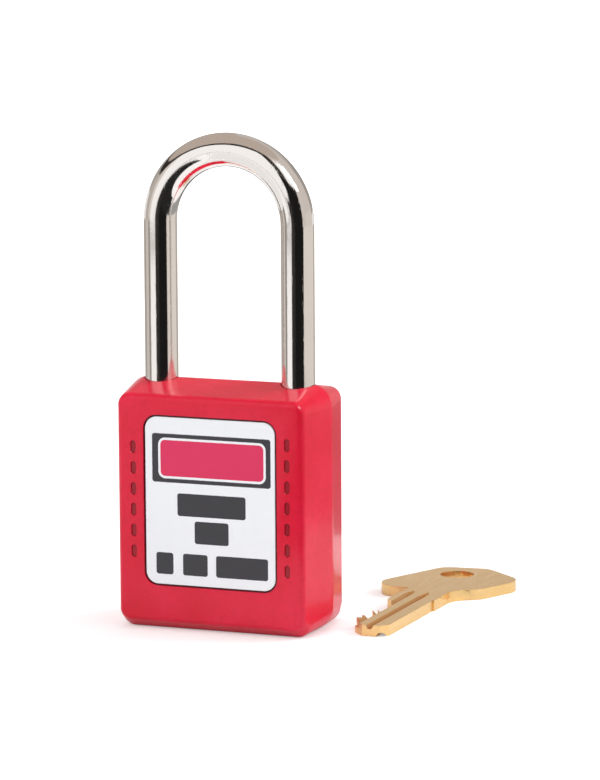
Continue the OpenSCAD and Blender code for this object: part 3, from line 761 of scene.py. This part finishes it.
def keyCutters():
    # the six cuts, the tip and the grooves
    k = keyShape
    half, over = k["bladeHeight"] / 2, k["over"]
    flat, flank = k["cutFlat"] / 2, k["bladeHeight"]
    tools = []
    for i, steps in enumerate(k["cuts"]):
        x = k["bladeLength"] - k["firstCut"] - i * k["cutPitch"]
        root = half - k["cutLeast"] - steps * k["cutStep"]
        tools.append(prism([(x - flat, root), (x + flat, root), (x + flat + flank, root + flank),
                            (x - flat - flank, root + flank)], keyLow, keyHigh))
    long, drop = k["tipRamp"]
    nose, noseY = k["tipNose"], half - drop
    tools.append(prism([(-over, noseY - nose - over), (nose, noseY), (long, half), (long + over, half + over),
                        (-over, half + over)], keyLow, keyHigh))
    long, rise = k["tipChamfer"]
    tools.append(prism([(-over, -half - over), (long, -half - over), (long, -half), (0.0, rise - half),
                        (-over, rise - half)], keyLow, keyHigh))
    tools.append(boxCutter((-over, -half - over, keyLow), (0.0, half + over, keyHigh)))
    for middle, width, length in k["grooves"]:
        tools.append(grooveTool(middle, width, length, True))
    tools.append(grooveTool(*k["backGroove"], False))
    return tools


def paintKey(m):
    # grain along the blade, stains, and a painted deeper colour in the milled grooves for their shade and
    # reflection
    k = keyShape
    angle = math.radians(-k["turn"])
    tip = Matrix.Rotation(angle, 3, "Z") @ Vector((*k["tip"], 0.0)) * mm
    own = m.node("ShaderNodeMapping", inputs={
        "Vector": m.where(), "Rotation": (0, 0, angle), "Location": -tip})
    x, y, z = m.axes(own)
    brushed = m.noise(2600.0, stretch=(0.06, 1.0, 1.0), vector=own)
    cloud = m.noise(140.0)
    marks = m.noise(1800.0, 4.0)
    low = m.below(z, k["thickness"] - 0.12, 0.1) * m.above(z, k["thickness"] / 2, 0.2)
    milled = 0.0
    for middle, width, _ in k["grooves"]:
        strip = m.below(abs(y - middle), width / 2 - 0.02, 0.04) * m.above(x, 0.05, 0.25)
        milled = strip.upper(milled)
    milled = milled * low
    colour = m.mix(cloud, k["brass"], k["otherBrass"])
    colour = m.mix(m.spread(marks, 0.62, 0.78, 0.0, 0.12), colour, k["stainAndShadeBrass"])
    # painted shade and reflection: the milled grooves get the deepest brass
    colour = m.mix(milled, colour, k["stainAndShadeBrass"])
    m.feed(Base_Color=colour, Roughness=m.spread(brushed, 0.3, 0.7, 0.26, 0.38) + milled * 0.05)
    m.bump(brushed * 0.7 + marks * 0.5, 0.05, 0.00006)


satinBrass = Finish("satinBrass", Metallic=1.0)
paintKey(satinBrass)
key = keyBlank()
carve(key, keyCutters())
turned = Matrix.Rotation(math.radians(keyShape["turn"]), 4, "Z")
key.data.transform(Matrix.Translation((*keyShape["tip"], 0.0)) @ turned)
finishPiece(key, "lock_body", satinBrass, "key", smooth=32.0)
print("key done:", len(key.data.polygons), "faces")


underside = {"plugEdge": 0.1, "coverEdge": 0.15, "plugRoughness": 0.32, "pinRoughness": 0.3}


def softCopy(node, width):
    # a merged copy of a solid's mesh, in millimetres, with small bevels
    bm = bmesh.new()
    bm.from_mesh(frame["nodes"][node].data)
    bmesh.ops.scale(bm, vec=(1 / mm, 1 / mm, 1 / mm), verts=bm.verts)
    bmesh.ops.remove_doubles(bm, verts=bm.verts, dist=0.002)
    bmesh.ops.dissolve_limit(bm, angle_limit=math.radians(1.0), verts=bm.verts, edges=bm.edges)
    softEdges(bm, width)
    return bm


def paintBrass(m, rough):
    cloud = m.noise(120.0)
    marks = m.noise(1500.0, 4.0)
    m.feed(Base_Color=m.mix(cloud, keyShape["brass"], keyShape["otherBrass"]),
           Roughness=m.spread(marks, 0.3, 0.7, rough - 0.06, rough + 0.08))
    m.bump(marks, 0.12, 0.00008)


turnedBrass = Finish("turnedBrass", Metallic=1.0)
paintBrass(turnedBrass, underside["plugRoughness"])
plug = asObject(softCopy("plug", underside["plugEdge"]), "brassPlug")
finishPiece(plug, "plug_group", turnedBrass, "plug", smooth=32.0)

coverPlastic = Finish("coverPlastic", Specular_IOR_Level=0.35)
paintBody(coverPlastic)
cover = asObject(softCopy("bottom_cover", underside["coverEdge"]), "mouldedCover")
finishPiece(cover, "lock_body", coverPlastic, "bottom_cover", smooth=32.0)
print("plug and cover done")


# two colours, lowest and highest roughness and the noise's scale
insideMetals = {
    "plainSteel": ((0.60, 0.60, 0.61), (0.52, 0.52, 0.54), 0.22, 0.36, 400.0),
    "castZinc": ((0.47, 0.48, 0.50), (0.38, 0.39, 0.41), 0.45, 0.62, 250.0),
}


def insideMetal(name):
    first, second, low, high, scale = insideMetals[name]
    m = Finish(name, Metallic=1.0)
    cloud = m.noise(scale)
    marks = m.noise(scale * 6)
    m.feed(Base_Color=m.mix(cloud, first, second), Roughness=m.spread(marks, 0.3, 0.7, low, high))
    m.bump(marks, 0.15, 0.00008)
    return m


pinBrass = Finish("pinBrass", Metallic=1.0)
paintBrass(pinBrass, underside["pinRoughness"])
finishes = {"steel": insideMetal("plainSteel"), "cast_zinc": insideMetal("castZinc"), "brass": pinBrass,
            "body_plastic": redPlastic, "label_print": labelPrint, "plated_steel": platedSteel}
for part in frame["record"]["subparts"]:
    for holder in frame["nodes"][part["node"]].material_slots:
        holder.material = finishes[part["material_slot"]].material
print("inside finishes done")


# lengths are in metres here
studio = {
    "floorHalf": 6.0, "floorShade": 0.8,
    # the floor's glow that the camera sees, from the near to the far radius, and the share that mirrors see
    "glowNear": 0.32, "glowFar": 1.0, "nearRadius": 0.12, "farRadius": 0.7, "mirroredShare": 0.2,
    "skyLight": 0.42, "aim": (0, 0, 0.03),
    # place, width and height, and power of each lamp
    "lamps": {"keyLight": ((-0.35, -0.75, 0.75), (0.7, 0.5), 5.2),
              "rightLight": ((0.66, 0.4, 0.42), (0.4, 0.6), 5.1),
              "topLight": ((0.05, 0.15, 0.9), (0.6, 0.6), 2.8)},
}


def floorMaterial():
    # pale floor, white towards its far edge
    m = Glow("paleFloor")
    shade, near, far = studio["floorShade"], studio["nearRadius"], studio["farRadius"]
    distance = m.node("ShaderNodeVectorMath", {"operation": "LENGTH"}, [m.where()], "Value")
    glow = m.spread(distance, near, far, studio["glowNear"], studio["glowFar"])
    seen = m.ray("Is Camera Ray").upper(m.ray("Is Glossy Ray") * studio["mirroredShare"])
    matt = m.node("ShaderNodeBsdfDiffuse", inputs={"Color": (shade, shade, shade)})
    shine = m.node("ShaderNodeEmission", inputs={"Color": seen * glow})
    return m.close(m.node("ShaderNodeAddShader", inputs=[matt, shine]))


bm = bmesh.new()
bmesh.ops.create_grid(bm, x_segments=1, y_segments=1, size=studio["floorHalf"])
floor = asObject(bm, "floor")
floor.data.materials.append(floorMaterial())

world = bpy.data.worlds.new("studio")
bpy.context.scene.world = world
world.use_nodes = True
sky = Nodes(world.node_tree)
backdrop = sky.nodes["Background"]
seenSky = sky.ray("Is Camera Ray").upper(sky.ray("Is Glossy Ray"))
sky.put(backdrop.inputs["Color"], (1.0, 1.0, 1.0))
sky.put(backdrop.inputs["Strength"], sky.spread(seenSky, 0.0, 1.0, studio["skyLight"], 1.0))


# soft boxes and dark cards round the padlock, seen only in its reflections, in millimetres
# angles run to the right of the camera's direction
cards = {
    "radius": 250, "cameraTurn": 20.8, "step": 3,
    # one height all round, or heights at some angles
    "lines": {
        "ground": 0, "streakLow": 35, "streakHigh": 40, "bench": 46, "ledge": 75, "glow": 100,
        "loft": 250, "attic": 400, "roof": 500,
        "shoulder": [(-40, 46), (-22, 75), (-12, 115), (-8, 195)],
        "archLow": [(-150, 175), (-130, 160), (-100, 150), (-80, 195), (-62, 225), (-50, 245), (-40, 280),
                    (-30, 312), (-15, 345), (-8, 332), (-7, 218), (-4, 196)],
        "archHigh": [(-150, 180), (-130, 192), (-100, 205), (-80, 240), (-62, 285), (-50, 325), (-40, 390),
                     (-30, 425), (-15, 450), (0, 445), (8, 400), (14, 196)],
    },
    # start and end angle, line below, line above, brightness, tint
    "walls": [
        (-180, -165, "ground", "bench", 0.85, "white"), (-165, -145, "ground", "bench", 0.6, "warm"),
        (-145, -118, "ground", "bench", 0.4, "warm"), (-118, -92, "ground", "bench", 0.62, "warm"),
        (-92, -76, "ground", "bench", 0.3, "warm"), (-76, -38, "ground", "streakLow", 1.0, "white"),
        (-76, -38, "streakLow", "streakHigh", 0.4, "warm"), (-76, -38, "streakHigh", "bench", 1.0, "white"),
        (-38, -14, "ground", "bench", 0.03, "warm"), (-14, 42, "ground", "bench", 0.01, "white"),
        (42, 128, "ground", "bench", 0.76, "warm"), (128, 152, "ground", "bench", 0.45, "warm"),
        (152, 158, "ground", "bench", 0.35, "warm"), (158, 180, "ground", "bench", 1.05, "warm"),
        (-180, -120, "bench", "glow", 0.9, "white"), (-180, -120, "glow", "archLow", 0.4, "warm"),
        (-120, -92, "bench", "archLow", 0.5, "warm"), (-92, -76, "bench", "archLow", 0.7, "warm"),
        (-76, -40, "bench", "archLow", 1.0, "white"), (-40, -7, "shoulder", "archLow", 1.0, "white"),
        (-40, 38, "bench", "shoulder", 0.012, "warm"), (-180, 14, "archLow", "archHigh", 0.03, "warm"),
        (-180, 14, "archHigh", "roof", 0.5, "taupe"), (14, 60, "shoulder", "attic", 0.95, "white"),
        (14, 60, "attic", "roof", 0.6, "warm"), (38, 60, "bench", "shoulder", 0.64, "warm"),
        (60, 118, "bench", "glow", 0.7, "warm"), (60, 118, "glow", "roof", 0.62, "warm"),
        (118, 150, "bench", "ledge", 0.9, "white"), (150, 165, "bench", "ledge", 0.4, "warm"),
        (118, 165, "ledge", "loft", 0.35, "warm"), (118, 165, "loft", "roof", 0.55, "warm"),
        (165, 180, "bench", "roof", 0.55, "warm"),
    ],
    # start and end angle, near and far radius, brightness
    "floors": [(-36, 58, 85, 250, 0.02), (-100, -42, 60, 250, 0.9), (58, 145, 110, 250, 0.35),
               (145, 175, 85, 250, 0.17), (175, 205, 110, 250, 0.35)], "floorHeight": 0.5,
    # start and end angle, low and high, brightness
    "lamps": [(36, 45, 265, 350, 130.0), (48, 57, 196, 240, 9.0)], "lampRadius": 245, "ceiling": 0.5,
    "tints": {"white": (1.0, 1.0, 1.0), "warm": (1.0, 0.93, 0.87), "taupe": (1.0, 0.85, 0.75)},
}


def heightAt(line, angle):
    # a plain height, or that of a named line: straight between its points, level beyond them
    points = cards["lines"].get(line, line)
    if not isinstance(points, list):
        return points
    before = [p for p in points if p[0] <= angle] or points[:1]
    after = [p for p in points if p[0] > angle] or points[-1:]
    (a, low), (b, high) = before[-1], after[0]
    return high if b == a else low + (high - low) * (angle - a) / (b - a)


def finishCard(bm, name, strength, tint):
    # turned to the camera, in metres, glowing, and seen by nothing but reflections
    bmesh.ops.rotate(bm, cent=(0, 0, 0), matrix=Matrix.Rotation(math.radians(cards["cameraTurn"]), 3, "Z"),
                     verts=bm.verts)
    bmesh.ops.scale(bm, vec=(mm, mm, mm), verts=bm.verts)
    obj = asObject(bm, name)
    m = Glow(name)
    light = m.node("ShaderNodeEmission", inputs={"Color": cards["tints"][tint], "Strength": strength})
    obj.data.materials.append(m.close(light))
    obj.visible_camera = False
    obj.visible_diffuse = False
    obj.visible_shadow = False
    obj.visible_transmission = False
    obj.visible_volume_scatter = False


def bandCard(name, start, end, inner, outer, strength, tint):
    # a strip round the padlock between two edges, each a radius and a height or line
    bm = bmesh.new()
    steps = max(1, round((end - start) / cards["step"]))
    bmesh.ops.create_grid(bm, x_segments=steps, y_segments=1, size=1.0)
    for v in bm.verts:
        angle = start + (end - start) * (v.co.x + 1) / 2
        radius, line = inner if v.co.y < 0 else outer
        turn = math.radians(angle)
        v.co = (radius * math.sin(turn), -radius * math.cos(turn), heightAt(line, angle))
    finishCard(bm, name, strength, tint)


wall, near, flat = cards["radius"], cards["lampRadius"], cards["floorHeight"]
for index, (start, end, low, high, strength, tint) in enumerate(cards["walls"]):
    bandCard("card%d" % index, start, end, (wall, low), (wall, high), strength, tint)
for index, (start, end, first, last, strength) in enumerate(cards["floors"]):
    bandCard("cardFloor%d" % index, start, end, (first, flat), (last, flat), strength, "white")
for index, (start, end, low, high, strength) in enumerate(cards["lamps"]):
    bandCard("cardLamp%d" % index, start, end, (near, low), (near, high), strength, "white")
bm = bmesh.new()
bmesh.ops.create_circle(bm, segments=48, radius=wall, cap_ends=True)
bmesh.ops.translate(bm, vec=(0, 0, cards["lines"]["roof"]), verts=bm.verts)
finishCard(bm, "cardCeiling", cards["ceiling"], "taupe")


for name, (place, size, power) in studio["lamps"].items():
    lamp = bpy.data.lights.new(name, "AREA")
    lamp.shape = "RECTANGLE"
    lamp.size, lamp.size_y = size
    lamp.energy = power
    holder = bpy.data.objects.new(name, lamp)
    bpy.context.scene.collection.objects.link(holder)
    holder.location = place
    holder.rotation_euler = (Vector(studio["aim"]) - Vector(place)).to_track_quat("-Z", "Y").to_euler()
    holder.visible_glossy = False


# place in metres, turn about x, y and z in degrees, focal length and film width in millimetres
lens = {"place": (0.278489, -0.697065, 0.164896), "turn": (80.7074, 0.3078, 20.7775),
        "focal": 197.86, "film": 36.0, "nearest": 0.05, "farthest": 20.0}
cameraData = bpy.data.cameras.new("camera")
cameraData.lens = lens["focal"]
cameraData.sensor_width = lens["film"]
cameraData.clip_start = lens["nearest"]
cameraData.clip_end = lens["farthest"]
camera = bpy.data.objects.new("camera", cameraData)
bpy.context.scene.collection.objects.link(camera)
facing = Euler([math.radians(a) for a in lens["turn"]])
camera.matrix_world = Matrix.LocRotScale(Vector(lens["place"]), facing, None)
bpy.context.scene.camera = camera
bpy.context.scene.view_settings.view_transform = "Standard"
print("studio done")
